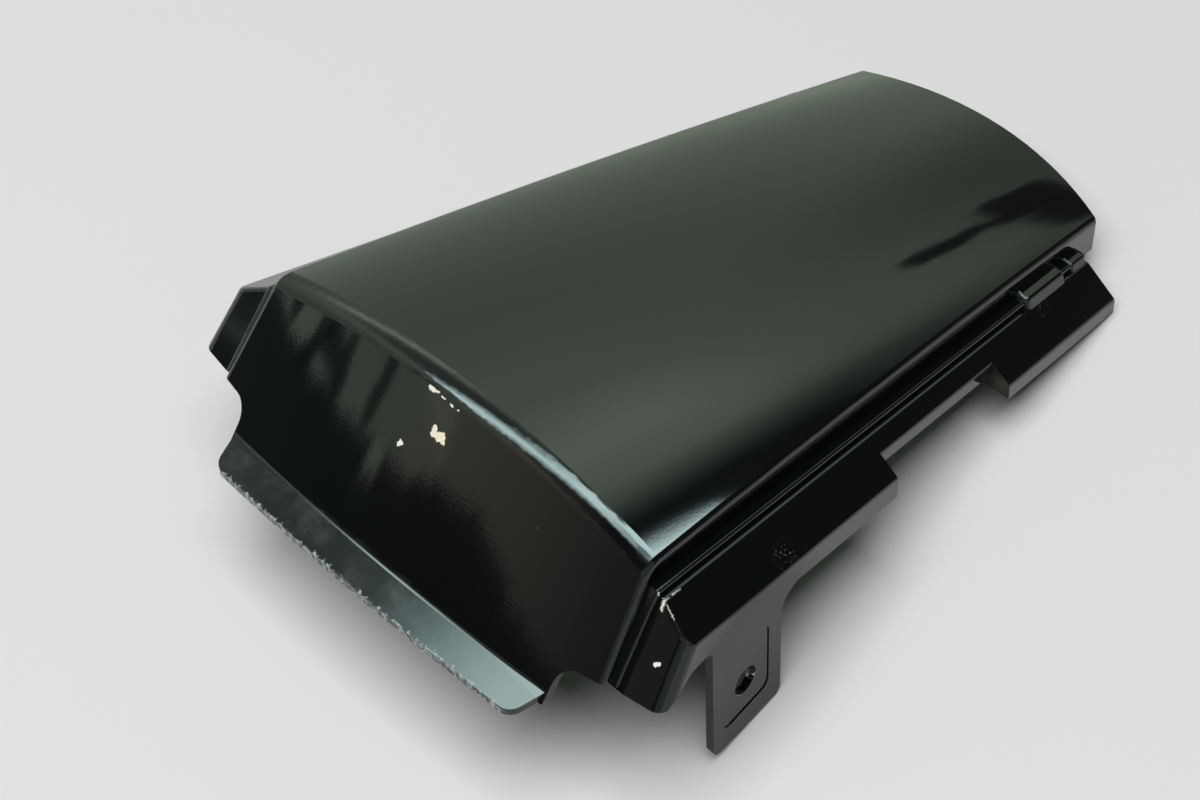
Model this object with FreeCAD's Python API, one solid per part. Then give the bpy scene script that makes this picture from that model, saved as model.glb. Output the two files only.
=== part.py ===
import FreeCAD
import Part
import math
import os
from FreeCAD import Vector

# Sizes in millimetres, angles in degrees. The lipped end is at -X, the rear edge at +X,
# and the floor at Z = 0.

# Moulding
wall = 2.7

# Top panel
panelLength = 216.0
halfFront = 70.0
halfRear = 47.2
edgeFront = 70.0
edgeRear = 20.5
archRise = 10.4
lengthCrown = 1.4
rearBow = 9.6
noseRadius = 6.0
edgeRadius = 2.0
sideDraft = 2.0
rearSkirt = 12.4

# Front face and its tongue
rake = 36.0
faceBow = 7.0
faceFoot = 42.0
tongueHalf = 61.0
tongueDrop = 7.4
tongueArch = 2.6
tongueRound = 5.0

# Lip under the tongue
lipReach = 10.2
lipSlope = 14.0
lipThick = 2.4
lipBow = 2.4
lipTaper = 3.6
lipCorner = 5.0
lipRootIn = 1.5
lipRootRadius = 1.2
lipRootBow = 3.7

# Stepped channel and flange, measured out from and down from the side edge of the panel
channelOut = 3.6
channelDown = 6.7
channelSet = 3.6
stepOut = 5.1
stepDown = 9.0
stepSet = 6.2
flangeOut = 16.4
flangeDown = 16.5
rimHeight = 7.6
rimFlare = 3.0
facetSwing = 9.0
shoulderRadius = 4.0
rimRadius = 1.5
stepRadius = 0.8
ridgeRadius = 0.5

# Zones along the flange
frontZoneEnd = 89.0
midOut = 9.6
midRim = 4.4
tabStart = 146.0
tabEnd = 205.5
tabRim = 5.4

# Lug, and the slot between it and the front leg of the flange
lugStart = 6.0
lugWidth = 29.5
lugFillet = 7.0
lugCorner = 2.5
lugFootFront = -1.0
lugFootRear = -3.2
holeAlong = 14.2
holeHeight = 17.0
holeDiameter = 9.0
padWidth = 20.0
padHeight = 26.0
padDepth = 0.3
padCorner = 3.0
padRise = 1.5
legFoot = 38.8
legWidth = 2.4
stepFoot = 41.0
postEnd = 20.0
slotWidth = 8.6
slotRadius = 3.2

# Moulded blocks in the channel of the rear tab
blockStart = 171.0
blockLength = 21.0
blockDown = 5.2
blockGap = 5.0
blockRadius = 1.4
lumpLength = 8.0
lumpDown = 6.2
lumpRadius = 1.0

taper = (halfFront - halfRear) / panelLength
fall = (edgeFront - edgeRear) / panelLength
archRadius = (halfFront ** 2 + archRise ** 2) / (2.0 * archRise)
tanRake = math.tan(math.radians(rake))
cosRake = math.cos(math.radians(rake))
sinRake = math.sin(math.radians(rake))
far = 300.0


def polygon(points):
    return Part.Face(Part.makePolygon(list(points) + [points[0]]))


def inset(points, depth):
    # The open line of points moved to its right by depth, mitred at the corners.
    rows = []
    for a, b in zip(points[:-1], points[1:]):
        length = math.hypot(b[0] - a[0], b[1] - a[1])
        nx = -(b[1] - a[1]) / length * depth
        ny = (b[0] - a[0]) / length * depth
        rows.append(((a[0] + nx, a[1] + ny), (b[0] + nx, b[1] + ny)))
    out = [rows[0][0]]
    for (p, q), (r, s) in zip(rows[:-1], rows[1:]):
        d1 = (q[0] - p[0], q[1] - p[1])
        d2 = (s[0] - r[0], s[1] - r[1])
        cross = d1[0] * d2[1] - d1[1] * d2[0]
        t = ((r[0] - p[0]) * d2[1] - (r[1] - p[1]) * d2[0]) / cross
        out.append((p[0] + t * d1[0], p[1] + t * d1[1]))
    out.append(rows[-1][1])
    return out


def sideAt(x, out, down):
    # A point beside the right edge of the panel.
    return Vector(x, -(halfFront - taper * x + out), edgeFront - fall * x - down)


def sidePrism(section, start, end):
    # A section beside the edge, carried along the edge.
    face = polygon([sideAt(start, out, down) for out, down in section])
    run = end - start
    return face.extrude(Vector(run, taper * run, -fall * run))


def frontCut(back, swing, pivot):
    # Everything in front of a plane that is raked as the front face is and set back from it.
    # Swing turns it about the side edge, and the pivot is how far out the set-back is measured.
    low = -60.0
    high = 140.0
    xLow = -tanRake * (edgeFront - low) + back
    xHigh = -tanRake * (edgeFront - high) + back
    yLow = -(halfFront - taper * xLow + pivot)
    yHigh = -(halfFront - taper * xHigh + pivot)
    slope = math.tan(math.radians(swing))
    rows = []
    for out in (-100.0, 60.0):
        turn = slope * out
        rows.append([
            Vector(xLow + turn, yLow - out, low),
            Vector(xHigh + turn, yHigh - out, high),
            Vector(xHigh + turn - far, yHigh - out, high),
            Vector(xLow + turn - far, yLow - out, low),
        ])
    wires = [Part.makePolygon(row + [row[0]]) for row in rows]
    return Part.makeLoft(wires, True, True)


def nearestEdges(shape, test):
    return [edge for edge in shape.Edges if test(edge)]


def middle(edge):
    return edge.valueAt(0.5 * (edge.FirstParameter + edge.LastParameter))


# Hood: arched panel, raked and bowed front face, drafted sides
def hood(depth):
    rearRise = archRadius - math.sqrt(archRadius ** 2 - halfRear ** 2)
    first = Vector(0.0, 0.0, edgeFront + archRise)
    last = Vector(panelLength, 0.0, edgeRear + rearRise)
    chord = last - first
    normal = Vector(-chord.z, 0.0, chord.x)
    normal.normalize()
    peak = (first + last) * 0.5 + normal * lengthCrown
    path = Part.Arc(first, peak, last).toShape().Curve
    centre = path.Center
    radius = path.Radius

    wide = halfFront + 40.0
    arc = archRadius - depth
    sag = archRadius - math.sqrt(arc ** 2 - wide ** 2)
    top = centre + Vector(0.0, 0.0, radius)
    left = top + Vector(0.0, -wide, -sag)
    right = top + Vector(0.0, wide, -sag)
    crown = top + Vector(0.0, 0.0, -depth)
    low = Vector(0.0, 0.0, -150.0)
    wire = Part.Wire([
        Part.Arc(left, crown, right).toShape(),
        Part.makeLine(right, right + low),
        Part.makeLine(right + low, left + low),
        Part.makeLine(left + low, left),
    ])
    startAngle = math.degrees(math.asin((-70.0 - centre.x) / radius))
    endAngle = math.degrees(math.asin((panelLength + 40.0 - centre.x) / radius))
    face = Part.Face(wire)
    face.rotate(centre, Vector(0.0, 1.0, 0.0), startAngle)
    block = face.revolve(centre, Vector(0.0, 1.0, 0.0), endAngle - startAngle)

    bow = faceBow * cosRake
    faceRadius = (halfFront ** 2 + bow ** 2) / (2.0 * bow)
    along = Vector(-sinRake, 0.0, -cosRake)
    inward = Vector(cosRake, 0.0, -sinRake)
    foot = Vector(-faceBow, 0.0, edgeFront)
    base = foot + inward * faceRadius - along * 900.0
    bowed = Part.makeCylinder(faceRadius - depth, 1800.0, base, along)
    bowed.rotate(base, along, 180.0)
    block = block.common(bowed)

    def onNose(edge):
        p = middle(edge)
        return abs(p.y) < 5.0 and p.x < 20.0 and p.z > edgeFront

    block = block.makeFillet(noseRadius - depth, nearestEdges(block, onNose))

    lean = math.tan(math.radians(sideDraft))
    outside = sidePrism([
        (-depth - 60.0 * lean, -60.0),
        (80.0, -60.0),
        (80.0, 200.0),
        (-depth + 200.0 * lean, 200.0),
    ], -90.0, panelLength + 60.0)
    mirrored = outside.mirror(Vector(0, 0, 0), Vector(0, 1, 0))
    return block.cut(outside).cut(mirrored)


def roundSides(shape):
    # The edge that runs along each side of the panel, over the nose and down the front face.
    lean = math.tan(math.radians(sideDraft))

    def onSide(edge):
        for t in (0.1, 0.5, 0.9):
            p = edge.valueAt(edge.FirstParameter + t * (edge.LastParameter - edge.FirstParameter))
            down = edgeFront - fall * p.x - p.z
            out = abs(p.y) - (halfFront - taper * p.x)
            if abs(out - lean * down) > 0.01:
                return False
        p = middle(edge)
        return p.z > 0.0 and p.x < panelLength + 30.0

    return shape.makeFillet(edgeRadius, nearestEdges(shape, onSide))


def bothSides(shape):
    return [shape, shape.mirror(Vector(0.0, 0.0, 0.0), Vector(0.0, 1.0, 0.0))]


def outline(rows, place):
    # A closed face from corners (u, v, radius), each corner rounded to its radius.
    count = len(rows)
    starts = []
    ends = []
    middles = []
    for i, (u, v, radius) in enumerate(rows):
        here = Vector(u, v, 0.0)
        before = Vector(rows[i - 1][0], rows[i - 1][1], 0.0) - here
        after = Vector(rows[(i + 1) % count][0], rows[(i + 1) % count][1], 0.0) - here
        before.normalize()
        after.normalize()
        half = 0.5 * before.getAngle(after)
        reach = radius / math.tan(half)
        bisector = before + after
        bisector.normalize()
        starts.append(here + before * reach)
        ends.append(here + after * reach)
        middles.append(here + bisector * (radius / math.sin(half) - radius))
    edges = []
    for i, (u, v, radius) in enumerate(rows):
        if radius > 0.0:
            corner = [place(p.x, p.y) for p in (starts[i], middles[i], ends[i])]
            edges.append(Part.Arc(*corner).toShape())
        onward = starts[(i + 1) % count]
        edges.append(Part.makeLine(place(ends[i].x, ends[i].y), place(onward.x, onward.y)))
    return Part.Face(Part.Wire(edges))


def sideView(rows, yFrom, yTo):
    face = outline(rows, lambda x, z: Vector(x, yFrom, z))
    return face.extrude(Vector(0.0, yTo - yFrom, 0.0))


def faceX(y, z):
    # Where the front face stands at this distance across and this height.
    bow = faceBow * cosRake
    radius = (halfFront ** 2 + bow ** 2) / (2.0 * bow)
    deep = radius - math.sqrt(radius ** 2 - y ** 2)
    run = (edgeFront - z - sinRake * deep) / cosRake
    return -faceBow - sinRake * run + cosRake * deep


def edgeZ(x):
    return edgeFront - fall * x


deepDown = 110.0
flareSlope = math.tan(math.radians(rimFlare))
swingSlope = math.tan(math.radians(facetSwing))
setBack = wall / cosRake
facetBack = wall * math.sqrt(1.0 + tanRake ** 2 + swingSlope ** 2)
flangeRise = (flangeDown - stepDown) / (flangeOut - stepOut)
midDown = stepDown + flangeRise * (midOut - stepOut)

# Hood, trimmed to its rear arc, its front foot and its rear skirt
hoodOuter = roundSides(hood(0.0))
hoodInner = hood(wall)

rearRadius = (halfRear ** 2 + rearBow ** 2) / (2.0 * rearBow)
rearCentre = panelLength + rearBow - rearRadius
rearRound = Part.makeCylinder(rearRadius, 500.0, Vector(rearCentre, 0.0, -250.0))
rearRound.rotate(Vector(rearCentre, 0.0, 0.0), Vector(0.0, 0.0, 1.0), 180.0)
behind = Part.makeBox(far, 2.0 * far, 500.0, Vector(rearCentre + 20.0, -far, -250.0)).cut(rearRound)
hoodOuter = hoodOuter.cut(behind)

tongueFoot = faceFoot - tongueDrop
footRows = [
    (-far, faceFoot, 0.0),
    (-tongueHalf, faceFoot, tongueRound),
    (-tongueHalf, tongueFoot - 4.0, 0.0),
    (tongueHalf, tongueFoot - 4.0, 0.0),
    (tongueHalf, faceFoot, tongueRound),
    (far, faceFoot, 0.0),
    (far, -far, 0.0),
    (-far, -far, 0.0),
]
underFace = outline(footRows, lambda y, z: Vector(-140.0, y, z)).extrude(Vector(145.0, 0.0, 0.0))
hoodOuter = hoodOuter.cut(underFace)
lowRows = [
    (5.0, edgeZ(5.0) - 40.0, 0.0),
    (panelLength + 90.0, edgeZ(panelLength + 90.0) - 40.0, 0.0),
    (panelLength + 90.0, -far, 0.0),
    (5.0, -far, 0.0),
]
hoodOuter = hoodOuter.cut(sideView(lowRows, -far, far))
for skirt in bothSides(sidePrism([(-30.0, rearSkirt), (40.0, rearSkirt), (40.0, 200.0), (-30.0, 200.0)],
                                 tabEnd - wall, panelLength + 60.0)):
    hoodOuter = hoodOuter.cut(skirt)


# Stepped flange beside the panel: a channel step, then a sloping flange with a rim
def stairs(points, depth, inner):
    line = inset(points, depth)
    low = line[-1][1]
    return [(-inner, line[0][1])] + line[1:] + [(-inner, low)]


def frontRound(shape, radius):
    # Rounds the upright fold where the flange's front facet turns into its outer wall.
    def onShoulder(edge):
        p = edge.valueAt(edge.FirstParameter)
        q = edge.valueAt(edge.LastParameter)
        r = middle(edge)
        out = -r.y - (halfFront - taper * r.x)
        return abs(p.z - q.z) > 20.0 and out > flangeOut - wall - 2.0 and r.x < lugStart

    return shape.makeFillet(radius, nearestEdges(shape, onShoulder))


channelLine = [(-20.0, channelDown), (channelOut, channelDown), (channelOut + 0.3, channelDown + 60.0)]
flangeLine = [
    (-20.0, stepDown),
    (stepOut, stepDown),
    (flangeOut, flangeDown),
    (flangeOut + flareSlope * deepDown, flangeDown + deepDown),
]
midLine = [
    (-20.0, stepDown),
    (stepOut, stepDown),
    (midOut, midDown),
    (midOut + flareSlope * midRim, midDown + midRim),
]
tabLine = [
    (-20.0, stepDown),
    (stepOut, stepDown),
    (flangeOut, flangeDown),
    (flangeOut + flareSlope * tabRim, flangeDown + tabRim),
]
early = -60.0
channelFront = frontCut(channelSet, 0.0, 0.0)
channelFrontIn = frontCut(channelSet + setBack, 0.0, 0.0)
flangeFront = [frontCut(stepSet, 0.0, 0.0), frontCut(stepSet, facetSwing, stepOut)]
flangeFrontIn = [frontCut(stepSet + setBack, 0.0, 0.0), frontCut(stepSet + facetBack, facetSwing, stepOut)]


def runsAt(shape, out, down):
    # The edges that run along the side at one place of the section.
    def fits(edge):
        for t in (edge.FirstParameter, edge.LastParameter):
            p = edge.valueAt(t)
            if abs(-p.y - (halfFront - taper * p.x) - out) > 0.01 or abs(edgeZ(p.x) - p.z - down) > 0.01:
                return False
        return True
    return nearestEdges(shape, fits)


def turnsDown(shape, out, down, reach):
    # The edge that leaves the front end of that run and goes down the front.
    tips = []
    for edge in runsAt(shape, out, down):
        tips += [edge.valueAt(edge.FirstParameter), edge.valueAt(edge.LastParameter)]
    start = min(tips, key=lambda p: p.x)
    found = []
    for edge in shape.Edges:
        ends = [edge.valueAt(edge.FirstParameter), edge.valueAt(edge.LastParameter)]
        for here, there in (ends, ends[::-1]):
            if here.distanceToPoint(start) < 0.01 and here.z - there.z > reach:
                found.append(edge)
    return found


# The channel runs the whole way, and only its front end goes on down beside the front face
joinDown = stepDown + wall
channelOuter = sidePrism(stairs(channelLine, 0.0, 10.0), early, tabEnd).cut(channelFront)
channelOuter = channelOuter.makeFillet(stepRadius, runsAt(channelOuter, channelOut, channelDown)
                                       + turnsDown(channelOuter, channelOut, channelDown, 10.0))
belowRun = [(-11.0, joinDown), (20.0, joinDown), (20.0, 200.0), (-11.0, 200.0)]
channelOuter = channelOuter.cut(sidePrism(belowRun, postEnd, tabEnd + 10.0))
channelOuter = channelOuter.cut(Part.makeBox(far, far, far, Vector(postEnd - far, -far, stepFoot - far)))
channelIn = sidePrism(stairs(channelLine, wall, 20.0), early, tabEnd - wall).cut(channelFrontIn)

flangeOuter = sidePrism(stairs(flangeLine, 0.0, 10.0), early, frontZoneEnd).cut(flangeFront)
flangeOuter = frontRound(flangeOuter, shoulderRadius)
flangeOuter = flangeOuter.makeFillet(rimRadius, runsAt(flangeOuter, flangeOut, flangeDown))
flangeOuter = flangeOuter.makeFillet(ridgeRadius, runsAt(flangeOuter, stepOut, stepDown))
flangeIn = sidePrism(stairs(flangeLine, wall, 20.0), early, frontZoneEnd - wall).cut(flangeFrontIn)
flangeIn = frontRound(flangeIn, shoulderRadius - wall)

rimDown = flangeDown + rimHeight
lugEnd = lugStart + lugWidth
slotTop = edgeZ(lugStart) - rimDown
facetFoot = -tanRake * (edgeFront - legFoot) + stepSet + swingSlope * (flangeOut - stepOut)
sideRows = [
    (-200.0, 200.0, 0.0),
    (-200.0, legFoot, 0.0),
    (facetFoot + legWidth, legFoot, 0.6),
    (lugStart - slotWidth, slotTop, slotRadius),
    (lugStart, slotTop, slotRadius),
    (lugStart, lugFootFront, lugCorner),
    (lugEnd, lugFootRear, lugCorner),
    (lugEnd, edgeZ(lugEnd) - rimDown, lugFillet),
    (frontZoneEnd, edgeZ(frontZoneEnd) - rimDown, 0.0),
    (frontZoneEnd, 200.0, 0.0),
]
flangeOuter = flangeOuter.common(sideView(sideRows, -140.0, -40.0))

midOuter = sidePrism(stairs(midLine, 0.0, 10.0), frontZoneEnd - 10.0, tabStart + 10.0)
midOuter = midOuter.makeFillet(rimRadius, runsAt(midOuter, midOut, midDown))
midOuter = midOuter.makeFillet(ridgeRadius, runsAt(midOuter, stepOut, stepDown))
midHollow = stairs(midLine, wall, 20.0)[:-2] + [(midOut - wall + 3.0, deepDown), (-20.0, deepDown)]
midIn = sidePrism(midHollow, 30.0, tabEnd - wall)
tabOuter = sidePrism(stairs(tabLine, 0.0, 10.0), tabStart, tabEnd)
tabOuter = tabOuter.makeFillet(rimRadius, runsAt(tabOuter, flangeOut, flangeDown))
tabOuter = tabOuter.makeFillet(ridgeRadius, runsAt(tabOuter, stepOut, stepDown))
tabIn = sidePrism(stairs(flangeLine, wall, 20.0), tabStart + wall, tabEnd - wall)

# Blocks moulded in the channel of the rear tab, with soft outer edges
def softBlock(section, start, length, radius):
    def spot(p):
        return -p.y - (halfFront - taper * p.x), edgeZ(p.x) - p.z

    def onRim(edge):
        ends = [spot(edge.valueAt(t)) for t in (edge.FirstParameter, edge.LastParameter)]
        corners = []
        for out, down in ends:
            for number, (u, v) in enumerate(section[:3]):
                if math.hypot(out - u, down - v) < 0.01:
                    corners.append(number)
        return sorted(corners) in ([1, 1], [0, 1], [1, 2])

    shape = sidePrism(section, start, start + length)
    return shape.makeFillet(radius, nearestEdges(shape, onRim))


blockLow = stepDown + 1.2
block = softBlock([
    (-1.0, blockDown),
    (channelOut + 0.6, blockDown + 0.4),
    (stepOut + 0.6, blockLow),
    (-1.0, blockLow),
], blockStart, blockLength, blockRadius)
lump = softBlock([
    (-1.0, lumpDown),
    (channelOut, lumpDown + 0.3),
    (stepOut, blockLow),
    (-1.0, blockLow),
], blockStart + blockLength + blockGap, lumpLength, lumpRadius)

# Lip below the tongue: an arched slab cut to its plan
lean = math.radians(lipSlope)
outward = Vector(-math.cos(lean), 0.0, -math.sin(lean))
upward = Vector(-math.sin(lean), 0.0, math.cos(lean))
endRoot = Vector(faceX(tongueHalf, tongueFoot), 0.0, tongueFoot)
midRoot = Vector(faceX(0.0, tongueFoot + tongueArch), 0.0, tongueFoot + tongueArch)
lipSag = (midRoot - endRoot).dot(upward)
lipRadius = (tongueHalf ** 2 + lipSag ** 2) / (2.0 * lipSag)
lipBase = endRoot - outward * 20.0


def lipPoint(y, depth):
    # A point of the slab's section: the arch at this distance across, moved down by depth.
    radius = lipRadius - depth
    drop = lipRadius - math.sqrt(radius ** 2 - y ** 2)
    return lipBase + upward * (lipSag - drop) + Vector(0.0, y, 0.0)


wide = tongueHalf + 10.0
slabWire = Part.Wire([
    Part.Arc(lipPoint(-wide, 0.0), lipPoint(0.0, 0.0), lipPoint(wide, 0.0)).toShape(),
    Part.makeLine(lipPoint(wide, 0.0), lipPoint(wide, lipThick)),
    Part.Arc(lipPoint(wide, lipThick), lipPoint(0.0, lipThick), lipPoint(-wide, lipThick)).toShape(),
    Part.makeLine(lipPoint(-wide, lipThick), lipPoint(-wide, 0.0)),
])
slab = Part.Face(slabWire).extrude(outward * 60.0)
underWire = Part.Wire([
    Part.Arc(lipPoint(-wide, lipThick), lipPoint(0.0, lipThick), lipPoint(wide, lipThick)).toShape(),
    Part.makeLine(lipPoint(wide, lipThick), lipPoint(wide, lipThick) - upward * 30.0),
    Part.makeLine(lipPoint(wide, lipThick) - upward * 30.0, lipPoint(-wide, lipThick) - upward * 30.0),
    Part.makeLine(lipPoint(-wide, lipThick) - upward * 30.0, lipPoint(-wide, lipThick)),
])
under = Part.Face(underWire).extrude(outward * 60.0)
lipX = endRoot.x - lipReach
cornerY = tongueHalf - lipTaper
rootX = endRoot.x + lipRootIn
rootLeft = Vector(rootX, tongueHalf, 0.0)
rootRight = Vector(rootX, -tongueHalf, 0.0)
tipLeft = Vector(lipX, cornerY, 0.0)
tipRight = Vector(lipX, -cornerY, 0.0)
planWire = Part.Wire([
    Part.makeLine(rootLeft, tipLeft),
    Part.Arc(tipLeft, Vector(lipX - lipBow, 0.0, 0.0), tipRight).toShape(),
    Part.makeLine(tipRight, rootRight),
    Part.Arc(rootRight, Vector(rootX - lipRootBow, 0.0, 0.0), rootLeft).toShape(),
])
plan = Part.Face(planWire).extrude(Vector(0.0, 0.0, 80.0))


def onCorner(edge):
    p = middle(edge)
    return abs(p.x - lipX) < 0.01 and abs(abs(p.y) - cornerY) < 0.01


plan = plan.makeFillet(lipCorner, nearestEdges(plan, onCorner))
lip = slab.common(plan)
hoodOuter = hoodOuter.cut(under)

# Join the outer bodies, then hollow them from below
outers = [hoodOuter]
for piece in (channelOuter, flangeOuter, midOuter, tabOuter, block, lump):
    outers += bothSides(piece)
inners = [hoodInner]
for piece in (channelIn, flangeIn, midIn, tabIn):
    inners += bothSides(piece)
cover = outers[0].multiFuse(outers[1:])
cover = cover.cut(inners)
cover = cover.fuse(lip)


def onLipRoot(edge):
    # The inside corner where the lip meets the front face.
    for t in (0.1, 0.5, 0.9):
        p = edge.valueAt(edge.FirstParameter + t * (edge.LastParameter - edge.FirstParameter))
        if abs(p.y) > tongueHalf + 0.1 or abs(p.x - faceX(p.y, p.z)) > 0.05:
            return False
        if p.z < tongueFoot - 0.5 or p.z > tongueFoot + tongueArch + 0.5:
            return False
    return edge.Length > 5.0


cover = cover.makeFillet(lipRootRadius, nearestEdges(cover, onLipRoot))

# Lug holes, square to the lug's wall, each in a shallow moulded pad
holeX = lugStart + holeAlong
holeDown = edgeZ(holeX) - holeHeight
holeAt = sideAt(holeX, flangeOut + flareSlope * (holeDown - flangeDown), holeDown)
alongWall = Vector(1.0, taper, -fall)
downWall = Vector(0.0, -flareSlope, -1.0)
lugNormal = alongWall.cross(downWall)
lugNormal.normalize()
if lugNormal.y > 0.0:
    lugNormal = lugNormal * -1.0
upWall = downWall * -1.0
upWall.normalize()
acrossWall = upWall.cross(lugNormal)
hole = Part.makeCylinder(0.5 * holeDiameter, 30.0, holeAt + lugNormal * 10.0, lugNormal * -1.0)
padRows = [
    (-0.5 * padWidth, -0.5 * padHeight, padCorner),
    (0.5 * padWidth, -0.5 * padHeight, padCorner),
    (0.5 * padWidth, 0.5 * padHeight, padCorner),
    (-0.5 * padWidth, 0.5 * padHeight, padCorner),
]
pad = outline(padRows, lambda u, v: holeAt + acrossWall * u + upWall * (v + padRise) + lugNormal * 5.0)
pad = pad.extrude(lugNormal * -(5.0 + padDepth))
for tool in bothSides(hole) + bothSides(pad):
    cover = cover.cut(tool)
cover = cover.removeSplitter()
print("cover", cover.isValid(), cover.ShapeType, len(cover.Solids), len(cover.Faces), cover.Volume)

# Set the cover down on its lugs and its rear tabs, centred over the origin
lugPoint = Vector(lugEnd, 0.0, lugFootRear)
tabPoint = Vector(tabEnd, 0.0, edgeZ(tabEnd) - flangeDown - tabRim)
lean = math.degrees(math.atan2(tabPoint.z - lugPoint.z, tabPoint.x - lugPoint.x))
cover = cover.Solids[0]
cover.rotate(Vector(0.0, 0.0, 0.0), Vector(0.0, 1.0, 0.0), lean)
box = cover.optimalBoundingBox(False, False)
shift = Vector(-0.5 * (box.XMin + box.XMax), -0.5 * (box.YMin + box.YMax), -box.ZMin)
print("lean", lean, "shift", shift, box)
cover.translate(shift)
spot = FreeCAD.Rotation(Vector(0.0, 1.0, 0.0), lean)
print("hole", spot.multVec(holeAt) + shift, "axis", spot.multVec(lugNormal))
os.makedirs("parts", exist_ok=True)
cover.exportStep("parts/tail_cover.step")
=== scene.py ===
import math
import bpy
from mathutils import Matrix, Vector

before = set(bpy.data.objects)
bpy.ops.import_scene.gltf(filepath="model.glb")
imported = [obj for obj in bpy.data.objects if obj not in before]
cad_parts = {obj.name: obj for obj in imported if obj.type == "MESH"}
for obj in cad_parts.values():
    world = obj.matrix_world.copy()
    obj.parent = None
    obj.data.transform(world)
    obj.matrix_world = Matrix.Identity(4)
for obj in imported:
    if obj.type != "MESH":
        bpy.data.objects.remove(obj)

mmPerMetre = 1000.0

for spare in ("Cube", "Camera", "Light"):  # the empty file's own objects
    if spare in bpy.data.objects:
        bpy.data.objects.remove(bpy.data.objects[spare], do_unlink=True)
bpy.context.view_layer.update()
print("frame loaded, nodes:", sorted(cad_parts))


def linearColour(hexCode):
    # sRGB hex to the linear values that shaders take
    parts = [int(hexCode[i:i + 2], 16) / 255 for i in (1, 3, 5)]
    return tuple(p / 12.92 if p <= 0.04045 else ((p + 0.055) / 1.055) ** 2.4 for p in parts) + (1.0,)


def addNode(tree, kind, inputs=None, **settings):
    # adds a node, sets its options, then fills or links its sockets
    node = tree.nodes.new(kind)
    for option, value in settings.items():
        setattr(node, option, value)
    for socket, value in (inputs or {}).items():
        if isinstance(value, bpy.types.NodeSocket):
            tree.links.new(value, node.inputs[socket])
        else:
            node.inputs[socket].default_value = value
    return node


def emptyMaterial(name):
    material = bpy.data.materials.new(name)
    material.use_nodes = True
    material.node_tree.nodes.clear()
    return material


def strokeMask(tree, point, start, end, radius, edge):
    # 1 inside a rounded stroke from start to end, fading to 0 over twice the edge
    stroke = Vector(end) - Vector(start)
    heading = stroke.normalized()
    away = addNode(tree, "ShaderNodeVectorMath", {0: point, 1: start}, operation="SUBTRACT").outputs[0]
    along = addNode(tree, "ShaderNodeVectorMath", {0: away, 1: heading},
                    operation="DOT_PRODUCT").outputs["Value"]
    held = addNode(tree, "ShaderNodeMapRange", {"Value": along, "From Max": stroke.length,
                                                "To Max": stroke.length}).outputs["Result"]
    nearest = addNode(tree, "ShaderNodeVectorMath", {0: heading, "Scale": held}, operation="SCALE").outputs[0]
    gap = addNode(tree, "ShaderNodeVectorMath", {0: away, 1: nearest}, operation="DISTANCE").outputs["Value"]
    return addNode(tree, "ShaderNodeMapRange", {"Value": gap, "From Min": radius + edge,
                                                "From Max": radius - edge},
                   interpolation_type="SMOOTHSTEP").outputs["Result"]


def patchMask(tree, point, scale, detail, roughness, span, least=0.0, most=1.0):
    # patches of noise: least where the noise is below the span, most where it is above
    noise = addNode(tree, "ShaderNodeTexNoise", {"Vector": point, "Scale": scale, "Detail": detail,
                                                 "Roughness": roughness}).outputs["Fac"]
    return addNode(tree, "ShaderNodeMapRange", {"Value": noise, "From Min": span[0], "From Max": span[1],
                                                "To Min": least, "To Max": most}).outputs["Result"]


def strayed(tree, point, scale, detail, roughness, reach):
    # noise from -1 to 1 on each axis, times the reach
    noise = addNode(tree, "ShaderNodeTexNoise", {"Vector": point, "Scale": scale, "Detail": detail,
                                                 "Roughness": roughness}).outputs["Color"]
    centred = addNode(tree, "ShaderNodeVectorMath", {0: noise, 1: (0.5, 0.5, 0.5)},
                      operation="SUBTRACT").outputs[0]
    doubled = addNode(tree, "ShaderNodeVectorMath", {0: centred, "Scale": 2.0}, operation="SCALE").outputs[0]
    return addNode(tree, "ShaderNodeVectorMath", {0: doubled, 1: reach}, operation="MULTIPLY").outputs[0]


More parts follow.
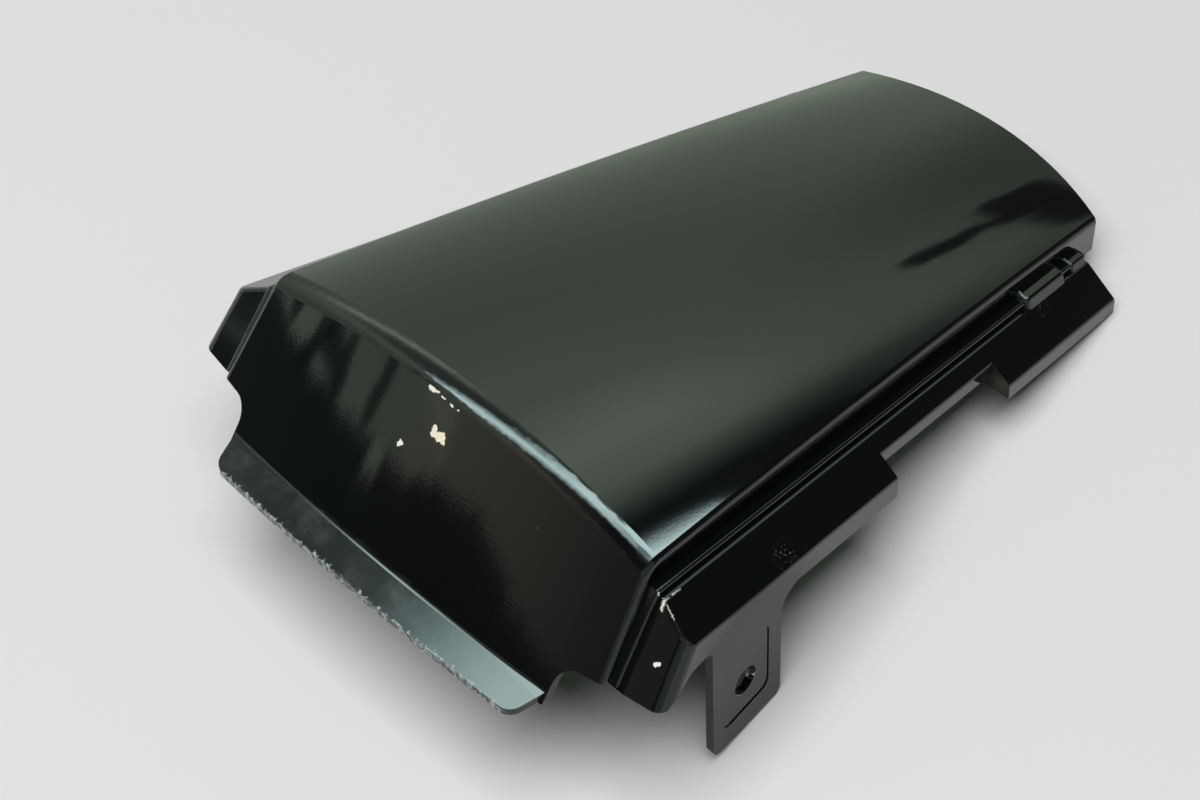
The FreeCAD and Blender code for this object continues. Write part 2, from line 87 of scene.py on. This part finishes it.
# Gloss-black paint on moulded ABS. The eye gets a hard reflection with a fine orange peel in it,
# cream plastic where the paint has chipped, a painted highlight on the flange's rounded corner, pale rubbed
# edges, and a dull oversprayed inside.
coverPaint = {
    "paint": "#080C0E",
    "cream": "#EEE8CC",         # plastic in the chips
    "white": "#EAF1EC",         # fresher plastic, and the painted highlight on the flange's rounded corner
    "rubbed": "#9FAAAA",        # paint rubbed thin along the lip, scuffs and dust
    "boreWall": "#C9C2AC",      # bare plastic in the screw holes
    "overspray": "#191A1A",     # thin dry paint on the inside
    "ior": 1.5,
    "shine": 0.5,               # the specular level of full paint
    "glossRoughness": 0.045,
    "lipRoughness": 0.16,
    "bareRoughness": 0.55,
    "insideRoughness": 0.42,
    "peelSize": 0.9,            # mm between the waves of the orange peel
    "peelDetail": 1.0,
    "peelHeight": 0.0022,       # mm
    "swellSize": 26.0,          # mm, slow waves left by the mould
    "swellDetail": 0.0,
    "swellHeight": 0.02,        # mm
    "dustSpacing": 11.0,        # mm between specks of dust
    "dustRadius": 0.30,         # mm, the largest
    "dustFrom": 0.62,           # share of the cells that stay clean
    "dustStrength": 0.5,
    # outlines of chips stray: noise cells per mm, detail, roughness and reach in mm
    "stray": (1.1, 3.0, 0.5, (0.64, 0.64, 0.64)),
    # each mark: start and end, radius and soft edge, all in mm, and how white it is
    "marks": (
        # large chip on the front face
        ((-98.7, 0.1, 74.0), (-99.8, -0.1, 72.7), 0.85, 0.1, 0.1),
        ((-99.6, -1.0, 73.0), (-98.9, -2.9, 73.8), 0.75, 0.1, 0.0),
        ((-99.0, -3.1, 73.7), (-100.0, -3.8, 72.5), 0.70, 0.1, 0.0),
        ((-100.1, -1.9, 72.3), (-99.9, -2.6, 72.6), 0.60, 0.1, 0.0),
        # small chip beside it
        ((-104.8, 8.2, 66.1), (-104.4, 7.8, 66.7), 0.72, 0.1, 0.8),
        # row of specks under the shoulder
        ((-93.8, 6.6, 80.5), (-93.8, 5.0, 80.6), 0.62, 0.1, 0.4),
        ((-93.7, 4.6, 80.8), (-93.6, 3.5, 80.9), 0.34, 0.1, 0.4),
        ((-93.8, 2.1, 80.5), (-93.8, 1.0, 80.5), 0.34, 0.1, 0.4),
        ((-94.0, -1.2, 80.3), (-94.0, -1.6, 80.3), 0.34, 0.1, 0.4),
        ((-93.9, -3.8, 80.4), (-93.9, -4.1, 80.4), 0.26, 0.1, 0.4),
        # chip on the corner facet
        ((-101.3, -80.7, 52.3), (-100.8, -81.4, 52.7), 0.62, 0.1, 1.0),
        # painted highlight on the flange's rounded corner and its edges, where they catch the light
        ((-92.2, -75.0, 64.8), (-93.8, -75.5, 63.0), 0.30, 0.3, 1.0),
        ((-92.4, -76.0, 64.2), (-93.4, -79.5, 62.3), 0.10, 0.25, 1.0),
        ((-92.0, -75.2, 64.8), (-86.2, -74.6, 63.5), 0.10, 0.25, 1.0),
        ((-92.8, -73.6, 67.0), (-92.8, -73.7, 66.2), 0.28, 0.2, 1.0),
    ),
    # the lip's outer edge is an arc seen from above: its centre and radius in mm
    "lipCentre": (554.8, 0.0, 0.0),
    "lipRadius": 687.6,
    "lipBack": (-122.0, -123.0),   # mm, the lip's dull paint begins between these
    "rubWidth": 1.3,               # mm, how far the rubbed band frays
    "rubEdge": (-0.55, 0.1),       # mm from the arc, where the rubbing begins and where it is full
    # patches of noise: cells per mm, detail, roughness, and the span of noise that each fades over
    "fray": (0.55, 6.0, 0.7, (0.35, 0.7)),
    "haze": (1 / 9.0, 4.0, 0.65, (0.45, 0.75)),
    "scratch": (1.6, 5.0, 0.75, (0.60, 0.66)),
    "flake": (0.3, 3.0, 0.5, (0.54, 0.58)),
    "mist": (0.06, 4.0, 0.5, (0.5, 0.9)),
    "hazeMost": 0.07,              # faint haze on the lip
    "mistMost": 0.12,              # plastic that shows through the overspray
    "scuffMost": 0.6,
    # scratches where a tool slipped on the flange: place and size in mm
    "scuffs": (((-52.5, -80.2, 48.8), 5.2), ((84.0, -57.6, 19.6), 4.5)),
    # one of the two screw holes, for either side, in mm
    "borePlace": (-72.83, 85.94, 20.57),
    "boreAxis": (0.11785, 0.99182, 0.04908),
    "boreRadius": 4.53,
    "lugReach": (40.0, 30.0),      # mm round the hole, where the paint is thin and shines less
    "lugShine": 0.22,
}


def glossBlackPaint(spec):
    material = emptyMaterial("gloss black paint on moulded ABS")
    tree = material.node_tree
    place = addNode(tree, "ShaderNodeTexCoord").outputs["Object"]
    inMm = addNode(tree, "ShaderNodeVectorMath", {0: place, "Scale": mmPerMetre},
                   operation="SCALE").outputs[0]
    axes = addNode(tree, "ShaderNodeSeparateXYZ", {0: inMm}).outputs

    # chips, and the painted highlight on the flange corner: short rounded strokes with ragged outlines
    stray = strayed(tree, inMm, *spec["stray"])
    ragged = addNode(tree, "ShaderNodeVectorMath", {0: inMm, 1: stray}, operation="ADD").outputs[0]
    chipAndHighlightMask = 0.0
    whiteAndHighlightMask = 0.0
    for start, end, radius, edge, white in spec["marks"]:
        inside = strokeMask(tree, ragged, start, end, radius, edge)
        palenessAndHighlight = addNode(tree, "ShaderNodeMath", {0: inside, 1: white}, operation="MULTIPLY").outputs[0]
        chipAndHighlightMask = addNode(tree, "ShaderNodeMath", {0: inside, 1: chipAndHighlightMask}, operation="MAXIMUM").outputs[0]
        whiteAndHighlightMask = addNode(tree, "ShaderNodeMath", {0: palenessAndHighlight, 1: whiteAndHighlightMask},
                            operation="MAXIMUM").outputs[0]

    # the lip, and the rubbed band along its outer edge
    lipReach = addNode(tree, "ShaderNodeMapRange", {"Value": axes[0], "From Min": spec["lipBack"][0],
                                                    "From Max": spec["lipBack"][1]}).outputs["Result"]
    overhead = addNode(tree, "ShaderNodeCombineXYZ", {0: axes[0], 1: axes[1]}).outputs[0]
    arc = addNode(tree, "ShaderNodeVectorMath", {0: overhead, 1: spec["lipCentre"]},
                  operation="DISTANCE").outputs["Value"]
    frayed = patchMask(tree, inMm, *spec["fray"], least=-spec["rubWidth"], most=spec["rubWidth"])
    rubLine = addNode(tree, "ShaderNodeMath", {0: arc, 1: frayed}, operation="ADD").outputs[0]
    rubBegins, rubFull = spec["rubEdge"]
    rubbed = addNode(tree, "ShaderNodeMapRange", {"Value": rubLine,
                                                  "From Min": spec["lipRadius"] + rubBegins,
                                                  "From Max": spec["lipRadius"] + rubFull}).outputs["Result"]
    hazed = patchMask(tree, inMm, *spec["haze"], most=spec["hazeMost"])
    worn = addNode(tree, "ShaderNodeMath", {0: rubbed, 1: hazed}, operation="MAXIMUM").outputs[0]
    rub = addNode(tree, "ShaderNodeMath", {0: worn, 1: lipReach}, operation="MULTIPLY").outputs[0]

    # fine scratches, strongest in the middle of each scuffed place
    scratch = patchMask(tree, inMm, *spec["scratch"])
    for centre, reach in spec["scuffs"]:
        away = addNode(tree, "ShaderNodeVectorMath", {0: inMm, 1: centre},
                       operation="DISTANCE").outputs["Value"]
        near = addNode(tree, "ShaderNodeMapRange", {"Value": away, "From Min": reach, "From Max": reach / 2,
                                                    "To Max": spec["scuffMost"]}).outputs["Result"]
        scuffed = addNode(tree, "ShaderNodeMath", {0: near, 1: scratch}, operation="MULTIPLY").outputs[0]
        rub = addNode(tree, "ShaderNodeMath", {0: rub, 1: scuffed}, operation="MAXIMUM").outputs[0]

    # specks of dust in about a third of the cells
    cells = addNode(tree, "ShaderNodeTexVoronoi", {"Vector": inMm, "Scale": 1 / spec["dustSpacing"]})
    lot = addNode(tree, "ShaderNodeSeparateXYZ", {0: cells.outputs["Color"]}).outputs[0]
    largest = spec["dustRadius"] / spec["dustSpacing"]
    dustSize = addNode(tree, "ShaderNodeMapRange", {"Value": lot, "From Min": spec["dustFrom"],
                                                    "To Max": largest}).outputs["Result"]
    speck = addNode(tree, "ShaderNodeMath", {0: cells.outputs["Distance"], 1: dustSize},
                    operation="LESS_THAN").outputs[0]
    dust = addNode(tree, "ShaderNodeMath", {0: speck, 1: spec["dustStrength"]},
                   operation="MULTIPLY").outputs[0]

    # screw holes with the paint flaked off, and thinner paint on the lugs round them
    across = addNode(tree, "ShaderNodeMath", {0: axes[1]}, operation="ABSOLUTE").outputs[0]
    oneSide = addNode(tree, "ShaderNodeCombineXYZ", {0: axes[0], 1: across, 2: axes[2]}).outputs[0]
    fromBore = addNode(tree, "ShaderNodeVectorMath", {0: oneSide, 1: spec["borePlace"]},
                       operation="SUBTRACT").outputs[0]
    swept = addNode(tree, "ShaderNodeVectorMath", {0: fromBore, 1: spec["boreAxis"]},
                    operation="CROSS_PRODUCT").outputs[0]
    boreGap = addNode(tree, "ShaderNodeVectorMath", {0: swept}, operation="LENGTH").outputs["Value"]
    inBore = addNode(tree, "ShaderNodeMath", {0: boreGap, 1: spec["boreRadius"]},
                     operation="LESS_THAN").outputs[0]
    flakes = patchMask(tree, inMm, *spec["flake"])
    bore = addNode(tree, "ShaderNodeMath", {0: inBore, 1: flakes}, operation="MULTIPLY").outputs[0]
    shine = addNode(tree, "ShaderNodeMapRange", {"Value": boreGap, "From Min": spec["lugReach"][0],
                                                 "From Max": spec["lugReach"][1], "To Min": spec["shine"],
                                                 "To Max": spec["lugShine"]}).outputs["Result"]

    # everything that faces the inside of the shell
    normal = addNode(tree, "ShaderNodeNewGeometry").outputs["True Normal"]
    outward = addNode(tree, "ShaderNodeVectorMath", {0: inMm, 1: normal},
                      operation="DOT_PRODUCT").outputs["Value"]
    hidden = addNode(tree, "ShaderNodeMath", {0: outward, 1: 0.0}, operation="LESS_THAN").outputs[0]

    # colours, laid over each other in the order of the real surface
    mist = patchMask(tree, inMm, *spec["mist"], most=spec["mistMost"])
    inner = addNode(tree, "ShaderNodeMix", {"Factor": mist, "A": linearColour(spec["overspray"]),
                                            "B": linearColour(spec["cream"])},
                    data_type="RGBA").outputs["Result"]
    bare = addNode(tree, "ShaderNodeMix", {"Factor": whiteAndHighlightMask, "A": linearColour(spec["cream"]),
                                           "B": linearColour(spec["white"])},
                   data_type="RGBA").outputs["Result"]
    colour = addNode(tree, "ShaderNodeMix", {"Factor": hidden, "A": linearColour(spec["paint"]), "B": inner},
                     data_type="RGBA").outputs["Result"]
    roughness = addNode(tree, "ShaderNodeMapRange", {"Value": lipReach, "To Min": spec["glossRoughness"],
                                                     "To Max": spec["lipRoughness"]}).outputs["Result"]
    roughness = addNode(tree, "ShaderNodeMix", {"Factor": hidden, "A": roughness,
                                                "B": spec["insideRoughness"]},
                        data_type="FLOAT").outputs["Result"]
    layers = (
        (dust, linearColour(spec["rubbed"])),
        (rub, linearColour(spec["rubbed"])),
        (bore, linearColour(spec["boreWall"])),
        # chips in cream and white, together with the painted highlight on the flange corner
        (chipAndHighlightMask, bare),
    )
    for mask, tone in layers:
        colour = addNode(tree, "ShaderNodeMix", {"Factor": mask, "A": colour, "B": tone},
                         data_type="RGBA").outputs["Result"]
        roughness = addNode(tree, "ShaderNodeMix", {"Factor": mask, "A": roughness,
                                                    "B": spec["bareRoughness"]},
                            data_type="FLOAT").outputs["Result"]

    # orange peel over slow swells
    swell = addNode(tree, "ShaderNodeTexNoise", {"Vector": inMm, "Scale": 1 / spec["swellSize"],
                                                 "Detail": spec["swellDetail"]}).outputs["Fac"]
    peel = addNode(tree, "ShaderNodeTexNoise", {"Vector": inMm, "Scale": 1 / spec["peelSize"],
                                                "Detail": spec["peelDetail"]}).outputs["Fac"]
    relief = addNode(tree, "ShaderNodeBump", {"Height": swell, "Strength": 1.0,
                                              "Distance": spec["swellHeight"] / mmPerMetre}).outputs["Normal"]
    relief = addNode(tree, "ShaderNodeBump", {"Height": peel, "Strength": 1.0, "Normal": relief,
                                              "Distance": spec["peelHeight"] / mmPerMetre}).outputs["Normal"]

    shader = addNode(tree, "ShaderNodeBsdfPrincipled", {"Base Color": colour, "Roughness": roughness,
                                                        "Normal": relief, "IOR": spec["ior"],
                                                        "Specular IOR Level": shine})
    addNode(tree, "ShaderNodeOutputMaterial", {"Surface": shader.outputs[0]})
    return material


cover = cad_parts["tail_cover"]
cover.data.materials[0] = glossBlackPaint(coverPaint)
print("cover painted")

# Matt white board under the cover. The eye gets a plain pale ground that takes a soft shadow.
floorBoard = {"size": 6.0, "drop": 0.0003, "colour": "#E1E1E1"}   # metres


def layFloor(spec):
    bpy.ops.mesh.primitive_plane_add(size=spec["size"], location=(0, 0, -spec["drop"]))
    floor = bpy.context.object
    floor.name = "floor"
    material = emptyMaterial("matt white board")
    tree = material.node_tree
    shader = addNode(tree, "ShaderNodeBsdfDiffuse", {"Color": linearColour(spec["colour"])})
    addNode(tree, "ShaderNodeOutputMaterial", {"Surface": shader.outputs[0]})
    floor.data.materials.append(material)


layFloor(floorBoard)
print("floor laid")

# The studio. Matt surfaces get an even dome and one wide soft lamp. Gloss mirrors a dim backdrop with
# dark furniture before it, a bent strip lamp overhead with its glow on the ceiling, and a dark room.
# Turns are degrees from +X towards +Y, rises are degrees over the table, and places on the ceiling are
# in units of its height.
studio = {
    "dome": 0.10,
    "domeColour": "#E4FFE6",
    "cameraTone": "#DCDCDC",
    "wall": "#EAFFE4",
    "frontWall": "#FFF6DE",        # warmer in front, to the right
    "warmFrom": (142.0, 158.0),    # turns between which the wall gets warmer
    "wallFrom": (4.0, 12.0),       # turns where the backdrop begins and where it is full
    "wallTo": (178.0, 150.0),      # turns where it has faded out and where the fading begins
    "farFrom": (-178.0, -160.0),   # the same for a dimmer wall on the camera's own side
    "farTo": (-56.0, -72.0),
    "farShare": 0.6,
    # brightness of the walls by the sine of the rise
    "wallTones": ((0.0, 1.8), (0.05, 1.5), (0.1, 0.95), (0.17, 0.76), (0.31, 0.70), (0.44, 0.90),
                  (0.5, 1.08), (0.58, 1.15), (0.66, 0.85), (0.75, 0.52), (1.0, 0.5)),
    "wallTonesTop": 2.0,           # the curve's own values end at 1
    # raggedness of the shapes in the room: noise scale, detail, roughness and reach in degrees
    "jag": (18.0, 4.0, 0.6, (1.6, 0.7, 0.0)),
    "jagStretch": (1.0, 1.0, 2.5),
    # darker places on the wall as turn and rise: start, end, radius, fading, how much of the wall is left
    "shades": (
        # behind the cover
        ((8.0, 14.0, 0), (20.0, 16.0, 0), 6.0, 5.0, 0.55),
        ((11.0, 19.8, 0), (16.2, 19.4, 0), 1.1, 0.2, 0.08),
        ((14.4, 20.6, 0), (15.4, 23.2, 0), 0.7, 0.2, 0.08),
        # before the front face
        ((129.5, 5.3, 0), (132.2, 4.9, 0), 0.9, 0.15, 0.1),
        ((134.9, 4.6, 0), (136.2, 6.2, 0), 0.5, 0.12, 0.1),
        ((136.2, 6.1, 0), (139.4, 6.6, 0), 0.45, 0.12, 0.1),
        ((136.5, 8.6, 0), (139.0, 7.2, 0), 0.5, 0.15, 0.3),
        ((142.5, 9.6, 0), (143.5, 8.2, 0), 0.7, 0.15, 0.2),
        ((128.0, 8.5, 0), (132.0, 14.0, 0), 1.2, 0.3, 0.3),
        ((141.0, 14.0, 0), (144.0, 22.0, 0), 1.8, 0.6, 0.4),
    ),
    "benchTone": 0.05,             # how much of the wall is left below the bench's top line
    "benchTurn": 130.0,            # the line climbs from this turn
    "benchRise": 0.055,            # radians, the line's rise there
    "benchClimb": 0.0056,          # radians for each degree of turn
    "benchTop": 0.203,             # radians, where it levels out
    "benchEdge": 0.003,            # radians, how soft it is
    "benchFrom": (112.0, 122.0),   # turns where the bench begins and where it is full
    "benchTo": (172.0, 168.0),
    # lighter places between the furniture as turn and rise: start, end, radius, fading, strength
    "gaps": (
        ((146.0, 7.8, 0), (146.2, 7.9, 0), 0.4, 0.2, 1.0),
        ((145.0, 10.9, 0), (150.5, 10.9, 0), 0.5, 0.4, 0.3),
    ),
    "ceilingFrom": 0.05,           # the sine of the lowest rise that reaches the ceiling
    # glows on the ceiling: start, end, radius, fading, strength
    "glows": (
        ((0.40, 1.20, 0), (0.75, 0.95, 0), 0.20, 0.40, 1.6),
        ((0.95, 0.40, 0), (1.45, 0.45, 0), 0.12, 0.25, 0.8),
    ),
    "lamp": "#DFFFFD",
    "lampLight": 13.0,
    # the strip lamp on the ceiling: start, end, radius, fading
    "strips": (
        ((-1.00, 0.80, 0), (0.02, 0.18, 0), 0.11, 0.15),
        ((0.10, 0.12, 0), (0.55, 0.10, 0), 0.15, 0.16),
        ((0.50, -0.02, 0), (1.37, -0.04, 0), 0.08, 0.03),
    ),
    "roomColour": "#FFE9C0",
    "roomTone": 0.045,
    # a warm lamp in the room as turn and rise: start, end, radius, fading, strength
    "roomLamp": ((-22.0, 12.0, 0), (-31.0, -2.0, 0), 3.0, 2.0, 0.16),
    "softPlace": (-1.6, -0.25, 4.0),   # metres, the soft lamp that only matt surfaces see
    "softSize": (4.5, 3.0),
    "softPower": 217.0,
    "softTint": "#FFFCFF",
}


def lightStudio(spec):
    world = bpy.data.worlds.new("studio")
    bpy.context.scene.world = world
    world.use_nodes = True
    tree = world.node_tree
    tree.nodes.clear()
    heading = addNode(tree, "ShaderNodeTexCoord").outputs["Generated"]
    parts = addNode(tree, "ShaderNodeSeparateXYZ", {0: heading}).outputs
    height = parts[2]
    turn = addNode(tree, "ShaderNodeMath", {0: parts[1], 1: parts[0]}, operation="ARCTAN2").outputs[0]
    around = addNode(tree, "ShaderNodeMath", {0: turn}, operation="DEGREES").outputs[0]
    rise = addNode(tree, "ShaderNodeMath", {0: height}, operation="ARCSINE").outputs[0]
    upward = addNode(tree, "ShaderNodeMath", {0: rise}, operation="DEGREES").outputs[0]
    chart = addNode(tree, "ShaderNodeCombineXYZ", {0: around, 1: upward}).outputs[0]
    layered = addNode(tree, "ShaderNodeVectorMath", {0: heading, 1: spec["jagStretch"]},
                      operation="MULTIPLY").outputs[0]
    jag = strayed(tree, layered, *spec["jag"])
    ragged = addNode(tree, "ShaderNodeVectorMath", {0: chart, 1: jag}, operation="ADD").outputs[0]

    # walls: brighter at the table and at the ceiling
    begins = addNode(tree, "ShaderNodeMapRange", {"Value": around, "From Min": spec["wallFrom"][0],
                                                  "From Max": spec["wallFrom"][1]},
                     interpolation_type="SMOOTHSTEP").outputs["Result"]
    ends = addNode(tree, "ShaderNodeMapRange", {"Value": around, "From Min": spec["wallTo"][0],
                                                "From Max": spec["wallTo"][1]}).outputs["Result"]
    near = addNode(tree, "ShaderNodeMath", {0: begins, 1: ends}, operation="MULTIPLY").outputs[0]
    far = spec["farShare"]
    for begin, full in (spec["farFrom"], spec["farTo"]):
        reach = addNode(tree, "ShaderNodeMapRange", {"Value": around, "From Min": begin, "From Max": full},
                        interpolation_type="SMOOTHSTEP").outputs["Result"]
        far = addNode(tree, "ShaderNodeMath", {0: reach, 1: far}, operation="MULTIPLY").outputs[0]
    walls = addNode(tree, "ShaderNodeMath", {0: near, 1: far}, operation="ADD").outputs[0]
    ramp = addNode(tree, "ShaderNodeFloatCurve", {"Value": height})
    tones = [(level, tone / spec["wallTonesTop"]) for level, tone in spec["wallTones"]]
    curve = ramp.mapping.curves[0]
    curve.points[0].location = tones[0]
    curve.points[1].location = tones[-1]
    for level, tone in tones[1:-1]:
        curve.points.new(level, tone)
    ramp.mapping.update()
    tone = addNode(tree, "ShaderNodeMath", {0: ramp.outputs[0], 1: spec["wallTonesTop"]},
                   operation="MULTIPLY").outputs[0]
    wallLevel = addNode(tree, "ShaderNodeMath", {0: tone, 1: walls}, operation="MULTIPLY").outputs[0]
    for start, end, radius, edge, left in spec["shades"]:
        shade = strokeMask(tree, ragged, start, end, radius, edge)
        share = addNode(tree, "ShaderNodeMapRange", {"Value": shade, "To Min": 1.0,
                                                     "To Max": left}).outputs["Result"]
        wallLevel = addNode(tree, "ShaderNodeMath", {0: wallLevel, 1: share}, operation="MULTIPLY").outputs[0]

    # bench in front: dark below a ragged line
    raggedParts = addNode(tree, "ShaderNodeSeparateXYZ", {0: ragged}).outputs
    raggedRise = addNode(tree, "ShaderNodeMath", {0: raggedParts[1]}, operation="RADIANS").outputs[0]
    past = addNode(tree, "ShaderNodeMath", {0: around, 1: spec["benchTurn"]}, operation="SUBTRACT").outputs[0]
    line = addNode(tree, "ShaderNodeMath", {0: past, 1: spec["benchClimb"], 2: spec["benchRise"]},
                   operation="MULTIPLY_ADD").outputs[0]
    line = addNode(tree, "ShaderNodeMath", {0: line, 1: spec["benchTop"]}, operation="MINIMUM").outputs[0]
    over = addNode(tree, "ShaderNodeMath", {0: raggedRise, 1: line}, operation="SUBTRACT").outputs[0]
    clear = addNode(tree, "ShaderNodeMapRange", {"Value": over, "From Min": -spec["benchEdge"],
                                                 "From Max": spec["benchEdge"],
                                                 "To Min": spec["benchTone"]}).outputs["Result"]
    inFront = 1.0
    for begin, full in (spec["benchFrom"], spec["benchTo"]):
        reach = addNode(tree, "ShaderNodeMapRange", {"Value": around, "From Min": begin,
                                                     "From Max": full}).outputs["Result"]
        inFront = addNode(tree, "ShaderNodeMath", {0: reach, 1: inFront}, operation="MULTIPLY").outputs[0]
    bench = addNode(tree, "ShaderNodeMix", {"Factor": inFront, "A": 1.0, "B": clear},
                    data_type="FLOAT").outputs["Result"]
    wallLevel = addNode(tree, "ShaderNodeMath", {0: wallLevel, 1: bench}, operation="MULTIPLY").outputs[0]
    for start, end, radius, edge, strength in spec["gaps"]:
        gap = strokeMask(tree, ragged, start, end, radius, edge)
        wallLevel = addNode(tree, "ShaderNodeMath", {0: gap, 1: strength, 2: wallLevel},
                            operation="MULTIPLY_ADD").outputs[0]

    # glows and lamp strips on the ceiling
    high = addNode(tree, "ShaderNodeMath", {0: height, 1: spec["ceilingFrom"]},
                   operation="MAXIMUM").outputs[0]
    flat = addNode(tree, "ShaderNodeCombineXYZ", {0: high, 1: high, 2: high}).outputs[0]
    spread = addNode(tree, "ShaderNodeVectorMath", {0: heading, 1: flat}, operation="DIVIDE").outputs[0]
    above = addNode(tree, "ShaderNodeVectorMath", {0: spread, 1: (1.0, 1.0, 0.0)},
                    operation="MULTIPLY").outputs[0]
    for start, end, radius, edge, strength in spec["glows"]:
        glow = strokeMask(tree, above, start, end, radius, edge)
        wallLevel = addNode(tree, "ShaderNodeMath", {0: glow, 1: strength, 2: wallLevel},
                            operation="MULTIPLY_ADD").outputs[0]
    lampMask = 0.0
    for start, end, radius, edge in spec["strips"]:
        strip = strokeMask(tree, above, start, end, radius, edge)
        lampMask = addNode(tree, "ShaderNodeMath", {0: strip, 1: lampMask}, operation="MAXIMUM").outputs[0]
    lampLevel = addNode(tree, "ShaderNodeMath", {0: lampMask, 1: spec["lampLight"]},
                        operation="MULTIPLY").outputs[0]

    # dim room on the right, with a warm lamp in it
    start, end, radius, edge, strength = spec["roomLamp"]
    warm = strokeMask(tree, ragged, start, end, radius, edge)
    roomLevel = addNode(tree, "ShaderNodeMath", {0: warm, 1: strength, 2: spec["roomTone"]},
                        operation="MULTIPLY_ADD").outputs[0]

    # what gloss mirrors is the brightest of the wall, the strip lamp and the room
    warmer = addNode(tree, "ShaderNodeMapRange", {"Value": around, "From Min": spec["warmFrom"][0],
                                                  "From Max": spec["warmFrom"][1]}).outputs["Result"]
    wallColour = addNode(tree, "ShaderNodeMix", {"Factor": warmer, "A": linearColour(spec["wall"]),
                                                 "B": linearColour(spec["frontWall"])},
                         data_type="RGBA").outputs["Result"]
    seen = (0.0, 0.0, 0.0)
    sources = (
        (wallLevel, wallColour),
        (lampLevel, linearColour(spec["lamp"])[:3]),
        (roomLevel, linearColour(spec["roomColour"])[:3]),
    )
    for level, colour in sources:
        lit = addNode(tree, "ShaderNodeVectorMath", {0: colour, "Scale": level}, operation="SCALE").outputs[0]
        seen = addNode(tree, "ShaderNodeVectorMath", {0: seen, 1: lit}, operation="MAXIMUM").outputs[0]

    path = addNode(tree, "ShaderNodeLightPath").outputs
    even = addNode(tree, "ShaderNodeBackground", {"Color": linearColour(spec["domeColour"]),
                                                  "Strength": spec["dome"]}).outputs[0]
    glossy = addNode(tree, "ShaderNodeBackground", {"Color": seen}).outputs[0]
    pale = addNode(tree, "ShaderNodeBackground", {"Color": linearColour(spec["cameraTone"])}).outputs[0]
    lights = addNode(tree, "ShaderNodeMixShader", {0: path["Is Glossy Ray"], 1: even, 2: glossy}).outputs[0]
    shown = addNode(tree, "ShaderNodeMixShader", {0: path["Is Camera Ray"], 1: lights, 2: pale}).outputs[0]
    addNode(tree, "ShaderNodeOutputWorld", {"Surface": shown})

    bpy.ops.object.light_add(type="AREA", location=spec["softPlace"])
    soft = bpy.context.object
    soft.data.shape = "RECTANGLE"
    soft.data.size, soft.data.size_y = spec["softSize"]
    soft.data.energy = spec["softPower"]
    soft.data.color = linearColour(spec["softTint"])[:3]
    soft.visible_camera = False
    soft.visible_glossy = False


lightStudio(studio)
print("studio lit")

photoView = {
    "place": (-0.373674, -0.346410, 0.605503),   # metres
    "aim": (-0.020451, 0.020459, 0.001564),
    "roll": 1.55,                                # degrees, the photo leans a little
    "lens": 81.0,                                # mm
    "sensor": 36.0,
}


def placeCamera(spec):
    data = bpy.data.cameras.new("photo view")
    data.lens = spec["lens"]
    data.sensor_width = spec["sensor"]
    camera = bpy.data.objects.new("photo view", data)
    bpy.context.scene.collection.objects.link(camera)
    look = Vector(spec["aim"]) - Vector(spec["place"])
    turn = look.to_track_quat("-Z", "Y").to_matrix().to_4x4()
    roll = Matrix.Rotation(-math.radians(spec["roll"]), 4, "Z")
    camera.matrix_world = Matrix.Translation(spec["place"]) @ turn @ roll
    bpy.context.scene.camera = camera


placeCamera(photoView)
bpy.context.scene.view_settings.view_transform = "Standard"
print("camera placed")
